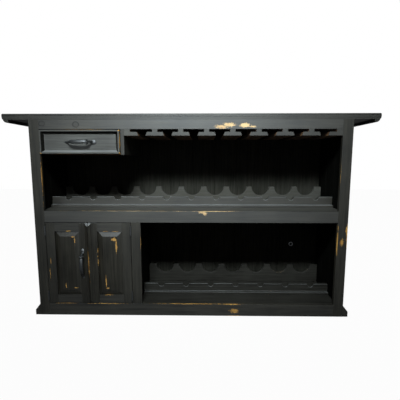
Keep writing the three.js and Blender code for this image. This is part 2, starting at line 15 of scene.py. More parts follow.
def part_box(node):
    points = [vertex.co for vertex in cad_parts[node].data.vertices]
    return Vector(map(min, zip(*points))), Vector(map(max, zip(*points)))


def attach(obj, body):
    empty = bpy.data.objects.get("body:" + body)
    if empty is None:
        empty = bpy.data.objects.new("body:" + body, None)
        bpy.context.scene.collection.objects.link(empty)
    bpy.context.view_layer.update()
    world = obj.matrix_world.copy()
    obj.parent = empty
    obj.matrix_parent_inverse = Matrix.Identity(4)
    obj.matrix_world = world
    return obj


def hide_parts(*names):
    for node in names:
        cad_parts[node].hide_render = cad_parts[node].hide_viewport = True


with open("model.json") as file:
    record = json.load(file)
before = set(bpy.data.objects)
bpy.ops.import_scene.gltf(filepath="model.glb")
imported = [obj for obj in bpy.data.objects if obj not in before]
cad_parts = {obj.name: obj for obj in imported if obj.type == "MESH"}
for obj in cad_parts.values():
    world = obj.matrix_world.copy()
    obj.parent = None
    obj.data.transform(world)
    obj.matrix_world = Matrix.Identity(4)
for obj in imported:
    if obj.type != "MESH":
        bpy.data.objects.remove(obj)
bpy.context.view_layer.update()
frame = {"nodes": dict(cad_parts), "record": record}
scene = bpy.context.scene
front_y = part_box("left_stile")[0].y
print("nodes", len(frame["nodes"]), "front plane", round(front_y, 4))

# %% [markdown]
# The photograph was taken from the bartender's side with a wide lens, a little right of the middle and
# lower than the top, so the top shows only its edge. The lens and the place follow from the way the
# case's upright edges lean together. Setting the camera first lets every later look be compared.

# %% Camera
CAMERA_PLACE = Vector((0.077, front_y - 1.6235, 0.842))
CAMERA_PITCH = math.radians(7.383)
CAMERA_TURN = math.radians(0.916)
CAMERA_LENS = 28.57
CAMERA_SENSOR = 36.0

lens = bpy.data.cameras.new("bar_camera")
lens.lens = CAMERA_LENS
lens.sensor_width = CAMERA_SENSOR
camera = bpy.data.objects.new("bar_camera", lens)
camera.location = CAMERA_PLACE
camera.rotation_euler = (math.pi / 2 - CAMERA_PITCH, 0.0, CAMERA_TURN)
scene.collection.objects.link(camera)
scene.camera = camera
print("camera at", [round(v, 3) for v in camera.location])

# %% [markdown]
# Materials here are small trees of nodes. They could be wired socket by socket, but a few helpers keep
# them readable. One adds a node and fills its sockets, whether from a number or from another node's
# output, and one starts a new material. The rest give the nodes that come back in every finish.


# %% Node helpers
def add_node(tree, kind, sockets=None, **settings):
    made = tree.nodes.new(kind)
    for key, value in settings.items():
        setattr(made, key, value)
    for key, value in (sockets or {}).items():
        if isinstance(value, bpy.types.NodeSocket):
            tree.links.new(value, made.inputs[key])
        else:
            made.inputs[key].default_value = value
    return made


def new_material(name):
    material = bpy.data.materials.new(name)
    material.use_nodes = True
    tree = material.node_tree
    tree.nodes.clear()
    shader = add_node(tree, "ShaderNodeBsdfPrincipled")
    output = add_node(tree, "ShaderNodeOutputMaterial")
    tree.links.new(shader.outputs[0], output.inputs[0])
    return material, tree, shader


def math_node(tree, operation, first, second=0.0):
    return add_node(tree, "ShaderNodeMath", {0: first, 1: second}, operation=operation).outputs[0]


def blend(tree, first, second, share):
    part = math_node(tree, "MULTIPLY", first, share)
    return math_node(tree, "ADD", part, math_node(tree, "MULTIPLY", second, 1.0 - share))


def ramp(tree, factor, stops):
    made = add_node(tree, "ShaderNodeValToRGB", {0: factor})
    elements = made.color_ramp.elements
    stops = list(stops)
    while len(elements) < len(stops):
        elements.new(0.5)
    for element, (place, colour) in zip(elements, stops):
        element.position = place
        element.color = (*colour, 1.0)
    return made.outputs[0]


def mix_colours(tree, share, first, second):
    sockets = {0: share, 6: first, 7: second}
    return add_node(tree, "ShaderNodeMix", sockets, data_type="RGBA").outputs[2]


def noise(tree, vector, scale, detail=4.0, roughness=0.55):
    sockets = {"Vector": vector, "Scale": scale, "Detail": detail, "Roughness": roughness}
    return add_node(tree, "ShaderNodeTexNoise", sockets).outputs[0]


def step_up(tree, value, low, high):
    sockets = {"Value": value, "From Min": low, "From Max": high}
    return add_node(tree, "ShaderNodeMapRange", sockets, interpolation_type="SMOOTHSTEP").outputs[0]


def raise_surface(tree, shader, height, strength, distance):
    bump = add_node(tree, "ShaderNodeBump", {"Height": height, "Strength": strength, "Distance": distance})
    tree.links.new(bump.outputs[0], shader.inputs["Normal"])


print("node helpers ready for Blender", bpy.app.version_string)

# %% [markdown]
# The boards are pine, and the fibres show through the paint. A picture of wood would stretch or repeat
# on boards of so many sizes, while noise has no seams. A Mapping node squeezes the space across the board
# more than along it, so the same noise becomes long fibres. Each board names the axis that it runs along.

# %% Grain
GRAIN_ALONG = 5.0
GRAIN_ACROSS = 130.0
GRAIN_STRENGTH = 0.4
GRAIN_DEPTH = 0.0006


def grain(tree, place, axis):
    scale = [GRAIN_ACROSS] * 3
    scale["XYZ".index(axis)] = GRAIN_ALONG
    stretched = add_node(tree, "ShaderNodeMapping", {"Vector": place, "Scale": scale}).outputs[0]
    return noise(tree, stretched, 1.0, 6.0, 0.65)


print("fibres drawn out", GRAIN_ACROSS / GRAIN_ALONG, "times")

# %% [markdown]
# The paint on the front is rubbed through in places, each about an ellipse at a real spot. Painting them
# into an image would need a map for every board, so nodes measure the distance from the ellipse's centre
# instead, where one is its rim. Noise added to that distance tears the outline, and only the skin of the
# front is rubbed. A knot is the same ellipse, read as rings that darken the paint and dull its sheen.

# %% Rubbed spots and knots
FRONT_SKIN = 0.007
TEAR_SCALE = 190.0
TEAR_SHARE = 0.62
TEAR_LEVEL = 0.53
TEAR_DEPTH = 5.0
SPOT_SOFTNESS = 0.45
KNOT_WAVES = 60.0
WAVE_DEPTH = 0.5
KNOT_RINGS = [(0.30, (0.85,) * 3), (0.62, (0.95,) * 3), (0.92, (0.60,) * 3), (1.0, (1.0,) * 3)]


def ellipse_distance(tree, place, ellipse):
    centre_x, centre_z, half_x, half_z = ellipse
    centre = (centre_x, 0.0, centre_z)
    squeeze = (1.0 / half_x, 0.0, 1.0 / half_z)
    moved = add_node(tree, "ShaderNodeVectorMath", {0: place, 1: centre}, operation="SUBTRACT").outputs[0]
    sized = add_node(tree, "ShaderNodeVectorMath", {0: moved, 1: squeeze}, operation="MULTIPLY").outputs[0]
    return add_node(tree, "ShaderNodeVectorMath", {0: sized}, operation="LENGTH").outputs["Value"]


def spot_mask(tree, place, torn, spot):
    near = math_node(tree, "SUBTRACT", 1.0, ellipse_distance(tree, place, spot))
    return step_up(tree, math_node(tree, "ADD", near, torn), 0.0, SPOT_SOFTNESS)


def spots_mask(tree, place, ragged, fibre, spots):
    fine = noise(tree, place, TEAR_SCALE, 4.0, 0.7)
    loose = blend(tree, blend(tree, ragged, fibre, 0.5), fine, TEAR_SHARE)
    torn = math_node(tree, "MULTIPLY", math_node(tree, "SUBTRACT", loose, TEAR_LEVEL), TEAR_DEPTH)
    mask = spot_mask(tree, place, torn, spots[0])
    for spot in spots[1:]:
        mask = math_node(tree, "MAXIMUM", mask, spot_mask(tree, place, torn, spot))
    depth = add_node(tree, "ShaderNodeSeparateXYZ", {0: place}).outputs[1]
    skin = math_node(tree, "LESS_THAN", depth, front_y + FRONT_SKIN)
    return math_node(tree, "MULTIPLY", mask, skin)


def knot_rings(tree, place, knot):
    waves = math_node(tree, "MULTIPLY", noise(tree, place, KNOT_WAVES), WAVE_DEPTH)
    wavy = math_node(tree, "ADD", ellipse_distance(tree, place, knot), waves)
    return ramp(tree, wavy, KNOT_RINGS)


print("front skin that can be rubbed", FRONT_SKIN)

# %% [markdown]
# The finish is charcoal paint over pine. Paint and bare wood could be two materials on different faces,
# but worn paint follows no face, so one material holds both and a mask chooses between them. The mask
# joins the rubbed spots with an attribute called wear, which some boards carry along their arrises. Paint
# stands a little higher than wood, so the mask lowers the surface too. Boards along X gleam the most.

# %% Black paint
PAINT_TONES = ((0.0105, 0.0090, 0.0062), (0.0500, 0.0430, 0.0308))
PALE_WOOD = ((0.42, 0.20, 0.06), (0.80, 0.53, 0.24))
SHEEN = {"X": 0.50, "Y": 0.40, "Z": 0.34}
SATIN = (0.36, 0.66)
CLOUD_SCALE = 5.0
RAGGED_SCALE = 26.0
PATCH_SCALE = 3.1
FIBRE_SHARE = 0.6
RAGGED_SHARE = 0.55
PAINT_SPAN = (0.34, 0.66)
WOOD_SPAN = (0.34, 0.60)
RUB = 0.58
RUB_SOFTNESS = 0.07
WOOD_ROUGHNESS = 0.72
PAINT_HEIGHT = 0.7


def black_paint(
    name, axis, spots=(), rub=RUB, tones=PAINT_TONES, sheen=None, satin=SATIN, wood=PALE_WOOD, knots=()
):
    material, tree, shader = new_material(name)
    place = add_node(tree, "ShaderNodeTexCoord").outputs["Object"]
    fibre = grain(tree, place, axis)
    cloud = noise(tree, place, CLOUD_SCALE, 5.0)
    ragged = noise(tree, place, RAGGED_SCALE, 6.0, 0.7)
    patchy = noise(tree, place, PATCH_SCALE, 2.0)
    tone = blend(tree, fibre, cloud, FIBRE_SHARE)
    gloss = SHEEN[axis] if sheen is None else sheen
    shader.inputs["Specular IOR Level"].default_value = gloss
    for knot in knots:
        rings = knot_rings(tree, place, knot)
        tone = math_node(tree, "MULTIPLY", tone, rings)
        gloss = math_node(tree, "MULTIPLY", rings, gloss)
    if knots:
        tree.links.new(gloss, shader.inputs["Specular IOR Level"])
    paint = ramp(tree, tone, zip(PAINT_SPAN, tones))
    bare = ramp(tree, blend(tree, fibre, ragged, FIBRE_SHARE), zip(WOOD_SPAN, wood))
    worn = add_node(tree, "ShaderNodeAttribute", attribute_name="wear").outputs["Fac"]
    chance = blend(tree, ragged, patchy, RAGGED_SHARE)
    mask = step_up(tree, math_node(tree, "MULTIPLY", worn, chance), rub, rub + RUB_SOFTNESS)
    if spots:
        mask = math_node(tree, "MAXIMUM", mask, spots_mask(tree, place, ragged, fibre, spots))
    tree.links.new(mix_colours(tree, mask, paint, bare), shader.inputs["Base Color"])
    sockets = {"Value": fibre, "To Min": satin[0], "To Max": satin[1]}
    painted_rough = add_node(tree, "ShaderNodeMapRange", sockets).outputs[0]
    rough = math_node(tree, "MAXIMUM", painted_rough, math_node(tree, "MULTIPLY", mask, WOOD_ROUGHNESS))
    tree.links.new(rough, shader.inputs["Roughness"])
    height = math_node(tree, "SUBTRACT", fibre, math_node(tree, "MULTIPLY", mask, PAINT_HEIGHT))
    raise_surface(tree, shader, height, GRAIN_STRENGTH, GRAIN_DEPTH)
    return material


paint_x = black_paint("black_paint_along_x", "X")
paint_y = black_paint("black_paint_along_y", "Y")
paint_z = black_paint("black_paint_along_z", "Z")
print("paints along", ", ".join(SHEEN))

# %% [markdown]
# The same paint is given different tones from place to place. The shelf and the upper rack's back rail
# are lighter, matt and grey. The rails and floor of the lower bay are darker, a painted shade, and the
# partition and the sides' inner faces are nearly black, a painted shade. Facets that face up on ledges
# are palest, a painted highlight. One tone with stronger lamps could not give all of these, so each place
# gets its own pair of tones and its own sheen.

# %% Paint by place
PALE_MATT_TONES = (PAINT_TONES[1], (0.082, 0.078, 0.068))
RACK_TONES = ((0.062, 0.056, 0.044), (0.098, 0.093, 0.081))
# Darker tones for the lower bay's rails and floor, a painted shade.
LOW_SHADE_TONES = ((0.018, 0.016, 0.013), (0.050, 0.046, 0.038))
# Pale tones for facets that face up, a painted highlight, dimmer in the lower bay.
LEDGE_HIGHLIGHT_TONES = ((0.110, 0.107, 0.100), (0.260, 0.255, 0.240))
LOW_LEDGE_HIGHLIGHT_TONES = ((0.070, 0.068, 0.063), (0.165, 0.162, 0.152))
# Nearly black tones for the insides, a painted shade where little light reaches.
INSIDE_SHADE_TONES = ((0.0030, 0.0029, 0.0022), (0.0100, 0.0098, 0.0080))
BACK_TONES = ((0.0144, 0.0136, 0.0104), (0.0480, 0.0448, 0.0360))
RACK_SHEEN = 0.015
LOW_SHEEN = 0.08
INSIDE_SHEEN = 0.005
INSIDE_RUB = 0.70

pale_matt_x = black_paint("pale_matt_paint_along_x", "X", tones=PALE_MATT_TONES)
rack_x = black_paint("rack_paint_along_x", "X", tones=RACK_TONES, sheen=RACK_SHEEN)
# The lower bay's paint is darker, a painted shade.
low_shade_x = black_paint("low_shade_paint_along_x", "X", tones=LOW_SHADE_TONES, sheen=LOW_SHEEN)
# Pale paint for facets that face up, a painted highlight.
ledge_highlight_x = black_paint("ledge_highlight_paint_along_x", "X", tones=LEDGE_HIGHLIGHT_TONES)
low_ledge_highlight_x = black_paint("low_ledge_highlight_paint_along_x", "X", tones=LOW_LEDGE_HIGHLIGHT_TONES)
# The insides' paint is nearly black, a painted shade.
inside_shade_z = black_paint("inside_shade_paint_along_z", "Z", rub=INSIDE_RUB, tones=INSIDE_SHADE_TONES, sheen=INSIDE_SHEEN)
back_z = black_paint("back_paint_along_z", "Z", rub=INSIDE_RUB, tones=BACK_TONES, sheen=INSIDE_SHEEN)
print("matt paints", [material.name for material in (rack_x, low_shade_x, inside_shade_z, back_z)])

# %% [markdown]
# The front boards each carry their own rubbed spots, listed as centre and half size along X and Z in
# metres. The rails have the largest ones, where trays and hips have worn the paint away; long thin ones
# follow an arris. Random wear would be quicker to write, but it would sit in the wrong places. The bare
# wood of the top and middle rails is pale, and elsewhere it has darkened to a deep orange.

# %% Spots of the front boards
SPOTS = {
    "top_rail": [(0.156, 1.001, 0.044, 0.013), (0.198, 1.011, 0.042, 0.013), (0.277, 1.009, 0.032, 0.014),
                 (0.312, 1.002, 0.022, 0.005)],
    "mid_rail": [(0.12, 0.5726, 0.19, 0.0026), (-0.405, 0.5730, 0.055, 0.0010),
                 (-0.25, 0.5740, 0.52, 0.0017), (0.075, 0.559, 0.014, 0.013), (0.064, 0.566, 0.026, 0.007)],
    "left_stile": [(-0.7640, 0.750, 0.0050, 0.135)],
    "right_stile": [(0.7900, 0.409, 0.0150, 0.024), (0.7660, 0.415, 0.0046, 0.082),
                    (0.8160, 0.440, 0.0085, 0.076), (0.8140, 0.475, 0.0140, 0.018),
                    (0.7650, 0.770, 0.0005, 0.070)],
    "bottom_rail": [(0.237, 0.029, 0.034, 0.016), (0.233, 0.0655, 0.060, 0.0030),
                    (0.240, 0.001, 0.060, 0.0026), (-0.45, 0.0656, 0.150, 0.0012),
                    (-0.66, 0.0658, 0.070, 0.0008), (0.02, 0.0660, 0.230, 0.0004)],
    "mullion": [(-0.2614, 0.400, 0.0008, 0.060)],
    "left_door_top_rail": [(-0.643, 0.4645, 0.018, 0.0034)],
    "left_door_hinge_stile": [(-0.744, 0.300, 0.0024, 0.024), (-0.751, 0.230, 0.0020, 0.035)],
    "left_door_meeting_stile": [(-0.5395, 0.300, 0.0011, 0.100)],
    "left_door_panel": [(-0.622, 0.4345, 0.018, 0.0042), (-0.6105, 0.412, 0.0030, 0.030),
                        (-0.6690, 0.165, 0.0030, 0.018), (-0.616, 0.1535, 0.012, 0.0032)],
    "right_door_top_rail": [(-0.395, 0.4642, 0.030, 0.0020), (-0.445, 0.4640, 0.022, 0.0014)],
    "right_door_meeting_stile": [(-0.4906, 0.358, 0.0022, 0.020), (-0.4910, 0.330, 0.0030, 0.011),
                                 (-0.4906, 0.298, 0.0022, 0.026), (-0.5360, 0.260, 0.0010, 0.080)],
    "right_door_panel": [(-0.404, 0.420, 0.017, 0.0130), (-0.390, 0.388, 0.0066, 0.046),
                         (-0.4520, 0.190, 0.0044, 0.048), (-0.444, 0.1530, 0.014, 0.0050)],
    "right_door_bottom_rail": [(-0.440, 0.1142, 0.030, 0.0020)],
}
KNOTS = {"top_rail": [(-0.576, 1.014, 0.026, 0.021), (-0.747, 1.019, 0.024, 0.019)]}
DEEP_WOOD = ((0.38, 0.15, 0.022), (0.86, 0.45, 0.095))
PALE_BOARDS = ("top_rail", "mid_rail")
BOARD_SHEEN = {"top_rail": 0.58, "mid_rail": 0.70}
UPRIGHT = ("stile", "mullion", "panel")
GLOSSY = ("panel", "meeting_stile")
GLOSSY_SHEEN = 0.50
GLOSSY_SATIN = (0.24, 0.40)


def spotted(node):
    axis = "Z" if node.endswith(UPRIGHT) else "X"
    wood = PALE_WOOD if node in PALE_BOARDS else DEEP_WOOD
    glossy = node.endswith(GLOSSY)
    sheen = GLOSSY_SHEEN if glossy else BOARD_SHEEN.get(node)
    satin = GLOSSY_SATIN if glossy else SATIN
    knots = KNOTS.get(node, ())
    return black_paint(node + "_paint", axis, SPOTS[node], sheen=sheen, satin=satin, wood=wood, knots=knots)


print("boards with rubbed spots", len(SPOTS), "spots", sum(len(spots) for spots in SPOTS.values()))

# %% [markdown]
# Inside the drawer and along the glass runners the pine was left raw and has darkened. It is the same
# grain without paint, in browner tones. The runners' pine is darker again, a painted shade for the dark
# slots between them. Only the runners' front ends were painted with the rest, and a mask on the depth
# does that, because a second material would need a cut through each runner.

# %% Raw pine
# Darker tones for the runners, partly darkened raw pine and partly a painted shade of the slots.
RUNNER_SHADED_STOPS = [(0.32, (0.056, 0.025, 0.0104)), (0.68, (0.20, 0.10, 0.042))]
PINE_STOPS = [(0.32, (0.125, 0.060, 0.028)), (0.5, (0.27, 0.14, 0.06)), (0.68, (0.45, 0.25, 0.11))]
PINE_CLOUDS = 4.0
PINE_SHARE = 0.7
PINE_ROUGHNESS = 0.6
PAINTED_END = 0.003
END_SPAN = (0.3, 0.7)


def raw_pine(name, axis, stops, painted_end=False):
    material, tree, shader = new_material(name)
    place = add_node(tree, "ShaderNodeTexCoord").outputs["Object"]
    fibre = grain(tree, place, axis)
    cloud = noise(tree, place, PINE_CLOUDS, 3.0)
    colour = ramp(tree, blend(tree, fibre, cloud, PINE_SHARE), stops)
    if painted_end:
        depth = add_node(tree, "ShaderNodeSeparateXYZ", {0: place}).outputs[1]
        at_front = math_node(tree, "LESS_THAN", depth, front_y + PAINTED_END)
        paint = ramp(tree, cloud, zip(END_SPAN, PAINT_TONES))
        colour = mix_colours(tree, at_front, colour, paint)
    tree.links.new(colour, shader.inputs["Base Color"])
    shader.inputs["Roughness"].default_value = PINE_ROUGHNESS
    shader.inputs["Specular IOR Level"].default_value = SHEEN["X"]
    raise_surface(tree, shader, fibre, GRAIN_STRENGTH, GRAIN_DEPTH)
    return material


pine_x = raw_pine("raw_pine_along_x", "X", PINE_STOPS)
pine_y = raw_pine("raw_pine_along_y", "Y", PINE_STOPS)
runner_shaded_pine = raw_pine("runner_shaded_pine", "Y", RUNNER_SHADED_STOPS, painted_end=True)
print("raw pine", [material.name for material in (pine_x, pine_y, runner_shaded_pine)])

# %% [markdown]
# The pulls and hinges are black forged iron, and the ring of the cord hole is a grey metal. Hammer marks
# could be sculpted, but they are finer than the mesh, so a cell texture drives the bump. A cloud of
# noise varies the gloss between handled and untouched places.

# %% Forged iron
BLACK_IRON = ((0.012, 0.012, 0.012), (0.035, 0.035, 0.035))
GREY_IRON = ((0.50, 0.50, 0.50), (0.75, 0.75, 0.75))
IRON_SPAN = (0.3, 0.7)
IRON_CLOUDS = 60.0
HAMMER_MARKS = 140.0
HAMMER_STRENGTH = 0.5
HAMMER_DEPTH = 0.0008
IRON_ROUGHNESS = 0.26
IRON_VARIES = 0.3
IRON_SHEEN = 0.85


def forged_iron(name, tones):
    material, tree, shader = new_material(name)
    place = add_node(tree, "ShaderNodeTexCoord").outputs["Object"]
    cloud = noise(tree, place, IRON_CLOUDS)
    sockets = {"Vector": place, "Scale": HAMMER_MARKS}
    facets = add_node(tree, "ShaderNodeTexVoronoi", sockets, feature="SMOOTH_F1").outputs[0]
    tree.links.new(ramp(tree, cloud, zip(IRON_SPAN, tones)), shader.inputs["Base Color"])
    rough = math_node(tree, "ADD", math_node(tree, "MULTIPLY", cloud, IRON_VARIES), IRON_ROUGHNESS)
    tree.links.new(rough, shader.inputs["Roughness"])
    shader.inputs["Specular IOR Level"].default_value = IRON_SHEEN
    raise_surface(tree, shader, facets, HAMMER_STRENGTH, HAMMER_DEPTH)
    return material


black_iron = forged_iron("forged_iron", BLACK_IRON)
grey_iron = forged_iron("grey_iron", GREY_IRON)
print("irons", black_iron.name, grey_iron.name)

# %% [markdown]
# Every finished bmesh takes the same last steps. Its faces are shaded smooth, with sharp edges only where
# the angle is large, so bevels catch the light softly. It then becomes an object that rides on a body
# and, where it stands for nodes of the frame, replaces them. Flat boards also get a Weighted Normal
# modifier, which lets the wide faces rule the shading; without it, a small bevel would bend the light
# across the whole board.

# %% Finish a piece
ROUND_ANGLE = math.radians(50)


def finish_piece(bm, name, materials, body, nodes=(), round_angle=ROUND_ANGLE):
    for face in bm.faces:
        face.smooth = True
    for edge in bm.edges:
        edge.smooth = edge.calc_face_angle(0.0) < round_angle
    mesh = bpy.data.meshes.new(name)
    bm.to_mesh(mesh)
    bm.free()
    for material in materials:
        mesh.materials.append(material)
    piece = bpy.data.objects.new(name, mesh)
    scene.collection.objects.link(piece)
    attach(piece, body)
    if nodes:
        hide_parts(*nodes)
    return piece


def even_out(piece):
    even = piece.modifiers.new("even_light", "WEIGHTED_NORMAL")
    even.keep_sharp = True
    return piece


def body_of(node):
    return next(name for name, nodes in frame["record"]["behaviour"]["bodies"].items() if node in nodes)


# %% [markdown]
# No painted board has a knife-sharp edge, so each board is copied into a bmesh and its edges are bevelled.
# Boards of the front keep the smallest bevel, because paint fills their joints. The outer boards also
# wear along their arrises: their wide faces are inset, and each vertex takes its wear from its
# distance to the old edges, so the paint knows where it was rubbed. Where a board has a ledge, the facets
# that face up and forwards take a paler paint, a painted highlight.

# %% Eased edges
SHARP_ANGLE = math.radians(8)
FLAT_ANGLE = math.radians(1)
WELD = 1e-5
RIM = 0.008
WIDE_ENOUGH = 1.6
FINE = 0.0007
LEDGE_TILT = 0.3


def distance_to_line(point, line):
    start, end = line
    along = end - start
    share = max(0.0, min(1.0, (point - start).dot(along) / along.length_squared))
    return (point - start - along * share).length


def face_width(face):
    return 2.0 * face.calc_area() / face.calc_perimeter()


def ease_edges(bm, width, worn):
    sharp = [e for e in bm.edges if e.calc_face_angle(0.0) > SHARP_ANGLE]
    lines = [(e.verts[0].co.copy(), e.verts[1].co.copy()) for e in sharp]
    made = bmesh.ops.bevel(
        bm, geom=sharp, offset=width, segments=2, profile=0.5, affect="EDGES", material=-1,
        clamp_overlap=True
    )
    if not worn:
        return
    rounded = set(made["faces"])
    wide = [f for f in bm.faces if f not in rounded and face_width(f) > WIDE_ENOUGH * RIM]
    bmesh.ops.inset_individual(bm, faces=wide, thickness=RIM, use_even_offset=True)
    wear = bm.verts.layers.float.get("wear") or bm.verts.layers.float.new("wear")
    for vert in bm.verts:
        nearest = min(distance_to_line(vert.co, line) for line in lines)
        vert[wear] = max(0.0, 1.0 - nearest / RIM)


def eased(node, material, width=FINE, worn=False, ledge=None):
    bm = bmesh.new()
    bm.from_mesh(frame["nodes"][node].data)
    bmesh.ops.remove_doubles(bm, verts=bm.verts, dist=WELD)
    bmesh.ops.dissolve_limit(bm, angle_limit=FLAT_ANGLE, verts=bm.verts, edges=bm.edges)
    ease_edges(bm, width, worn)
    materials = [material]
    if ledge:
        materials.append(ledge)
        for face in bm.faces:
            face.material_index = int(face.normal.z > LEDGE_TILT and face.normal.y < -LEDGE_TILT)
    return even_out(finish_piece(bm, node + "_eased", materials, body_of(node), [node]))


print("smallest bevel", FINE, "worn rim", RIM)

# %% [markdown]
# Now the boards themselves, group by group: worn outer boards and racks, plain boards, the spotted boards
# of the front, and the raw pine of the runners and the drawer box. A table of board and paint is shorter
# than a call for each, and shows at a glance which boards share a finish.

# %% Boards
ROUNDED = 0.0016
RACK_ROUND = 0.0026
WORN_BOARDS = {
    "bar_top": paint_x, "customer_moulding": paint_x, "base_moulding_customer": paint_x,
    "end_moulding_left": paint_y, "end_moulding_right": paint_y,
    "base_moulding_left": paint_y, "base_moulding_right": paint_y,
    "upper_rack_neck_rail": paint_x, "upper_rack_body_rail": rack_x,
    "lower_rack_neck_rail": low_shade_x, "lower_rack_body_rail": low_shade_x,
}
# The neck rails' upward facets take pale paint, a painted highlight.
RACK_LEDGE_HIGHLIGHTS = {"upper_rack_neck_rail": ledge_highlight_x, "lower_rack_neck_rail": low_ledge_highlight_x}
PLAIN_BOARDS = {
    "mid_shelf": pale_matt_x, "floor_board": low_shade_x, "partition": inside_shade_z, "drawer_divider": paint_z,
    "right_door_hinge_stile": paint_z, "left_door_bottom_rail": paint_x,
}
PINE_BOARDS = {
    "drawer_side_left": pine_y, "drawer_side_right": pine_y, "drawer_floor": pine_y,
    "drawer_back": pine_x, "drawer_bottom": pine_x,
}
RUNNERS = [name for name in frame["nodes"] if name.startswith("glass_runner_")]


def worn_round(name):
    if name == "bar_top":
        return FINE
    return RACK_ROUND if "rack" in name else ROUNDED


for name, material in WORN_BOARDS.items():
    eased(name, material, width=worn_round(name), worn=True, ledge=RACK_LEDGE_HIGHLIGHTS.get(name))
for name, material in PLAIN_BOARDS.items():
    eased(name, material)
# The meeting stiles' upward facets take pale paint, a painted highlight.
for name in SPOTS:
    eased(name, spotted(name), ledge=ledge_highlight_x if name.endswith("meeting_stile") else None)
for name in RUNNERS:
    eased(name, runner_shaded_pine)
for name, material in PINE_BOARDS.items():
    eased(name, material, ROUNDED)

# %% [markdown]
# The sides and the customer's panel are closed with upright planks. Grooves could be cut into one panel,
# but each plank is simply a cube scaled to size with its edges eased, so two planks side by side leave a
# V groove, just as real ones do. Their outer faces have the common paint. The inner faces of the sides
# take the nearly black paint of the insides, a painted shade, and the customer's panel inside takes a
# matt paint.

# %% Upright planks
PLANK_WIDTH = 0.136
PLANK_EASE = 0.0025
case_middle = (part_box("customer_panel")[0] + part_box("left_stile")[1]) / 2
case_middle.x = 0.0


def planked(node, axis, inner_paint):
    low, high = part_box(node)
    across = 1 - axis
    length = high[axis] - low[axis]
    count = round(length / PLANK_WIDTH)
    whole = bmesh.new()
    whole.verts.layers.float.new("wear")
    for index in range(count):
        size = high - low
        size[axis] = length / count
        centre = (low + high) / 2
        centre[axis] = low[axis] + (index + 0.5) * length / count
        plank = bmesh.new()
        place = Matrix.Translation(centre) @ Matrix.Diagonal((*size, 1.0))
        bmesh.ops.create_cube(plank, size=1.0, matrix=place)
        ease_edges(plank, PLANK_EASE, True)
        part = bpy.data.meshes.new("plank")
        plank.to_mesh(part)
        plank.free()
        whole.from_mesh(part)
        bpy.data.meshes.remove(part)
    panel_middle = (low[across] + high[across]) / 2
    inward = math.copysign(1.0, case_middle[across] - panel_middle)
    for face in whole.faces:
        face.material_index = int((face.calc_center_median()[across] - panel_middle) * inward > 0.0)
    print(node, "planks", count)
    paints = [paint_z, inner_paint]
    return even_out(finish_piece(whole, node + "_planks", paints, body_of(node), [node]))


planked("customer_panel", 0, back_z)
# The sides' inner faces take the nearly black inside paint, a painted shade.
planked("side_panel_left", 1, inside_shade_z)
planked("side_panel_right", 1, inside_shade_z)

# %% [markdown]
# The drawer's face is a flat board with a mitred moulding round a sunk field. Four mitred strips would
# need four meshes; insetting one face again and again, each time with a little depth, walks the section
# of the moulding inwards and mitres the corners by itself. The moulding's cove is painted dark, a
# painted shade, except along the bottom, where it faces up and is painted pale, a painted highlight.
# The face's own paint is lighter than the front's, a painted sheen. The edges are kept sharp, so each
# step shows.

# %% Drawer front
MOULDING_STEPS = [
    (0.0006, 0.0066), (0.0012, 0.0040), (0.0014, 0.0010), (0.0050, 0.0000), (0.0010, -0.0012),
    (0.0105, -0.0138), (0.0036, -0.0021), (0.0010, 0.0000),
]
FIELD_SUNK = -sum(depth for thickness, depth in MOULDING_STEPS)
COVE_STEP = 5
FACES_UP = 0.1
MITRE_ANGLE = math.radians(16)
# The face's tones are lighter than the front's paint, a painted sheen.
FACE_PAINTED_SHEEN_TONES = ((0.052, 0.048, 0.041), (0.122, 0.117, 0.104))
FACE_SHEEN = 0.28
# Near-black tones for the cove, a painted shade.
COVE_SHADE_TONES = (INSIDE_SHADE_TONES[0], PAINT_TONES[0])
COVE_SHEEN = 0.10
FACE_SPOTS = [
    (-0.357, 0.983, 0.0075, 0.0045), (-0.357, 0.870, 0.0075, 0.0045), (-0.758, 0.870, 0.0065, 0.0045),
    (-0.640, 0.8668, 0.055, 0.0018), (-0.557, 0.9868, 0.190, 0.0011), (-0.3546, 0.930, 0.0009, 0.058),
    (-0.7612, 0.930, 0.0022, 0.060),
]
FACE_NODES = ("drawer_front", "drawer_moulding")
face_wear_and_sheen_paint = black_paint(
    "drawer_face_paint", "X", FACE_SPOTS, tones=FACE_PAINTED_SHEEN_TONES, sheen=FACE_SHEEN, wood=DEEP_WOOD
)
cove_shade_paint = black_paint("cove_shade_paint", "X", rub=INSIDE_RUB, tones=COVE_SHADE_TONES, sheen=COVE_SHEEN)
FACE_PAINTS = [face_wear_and_sheen_paint, cove_shade_paint, ledge_highlight_x]


def drawer_face():
    low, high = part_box("drawer_front")
    bm = bmesh.new()
    place = Matrix.Translation((low + high) / 2) @ Matrix.Diagonal((*(high - low), 1.0))
    bmesh.ops.create_cube(bm, size=1.0, matrix=place)
    face = min(bm.faces, key=lambda f: f.calc_center_median().y)
    # The cove's upward faces take pale paint, a painted highlight, and its other faces a painted shade.
    for step, (thickness, depth) in enumerate(MOULDING_STEPS):
        made = bmesh.ops.inset_region(
            bm, faces=[face], thickness=thickness, depth=depth, use_even_offset=True
        )
        if step == COVE_STEP:
            for side in made["faces"]:
                paint = ledge_highlight_x if side.normal.z > FACES_UP else cove_shade_paint
                side.material_index = FACE_PAINTS.index(paint)
    return finish_piece(bm, "drawer_face", FACE_PAINTS, "drawer", FACE_NODES, MITRE_ANGLE)


drawer_face()
print("moulding steps", len(MOULDING_STEPS), "field sunk", round(FIELD_SUNK, 4))

# %% [markdown]
# A forged pull is one bar: a flat tail, a broad grip that stands out from the face, a collar, and a domed
# rose as its other foot. A curve with a bevel would keep one section all along, so circles are placed
# from station to station and bridged instead, and a Subdivision Surface rounds them off. Each station
# gives the place along the pull, how far it stands out, the tilt of the bar and its two half widths. The
# drawer's field is sunk, so there the feet reach further back.

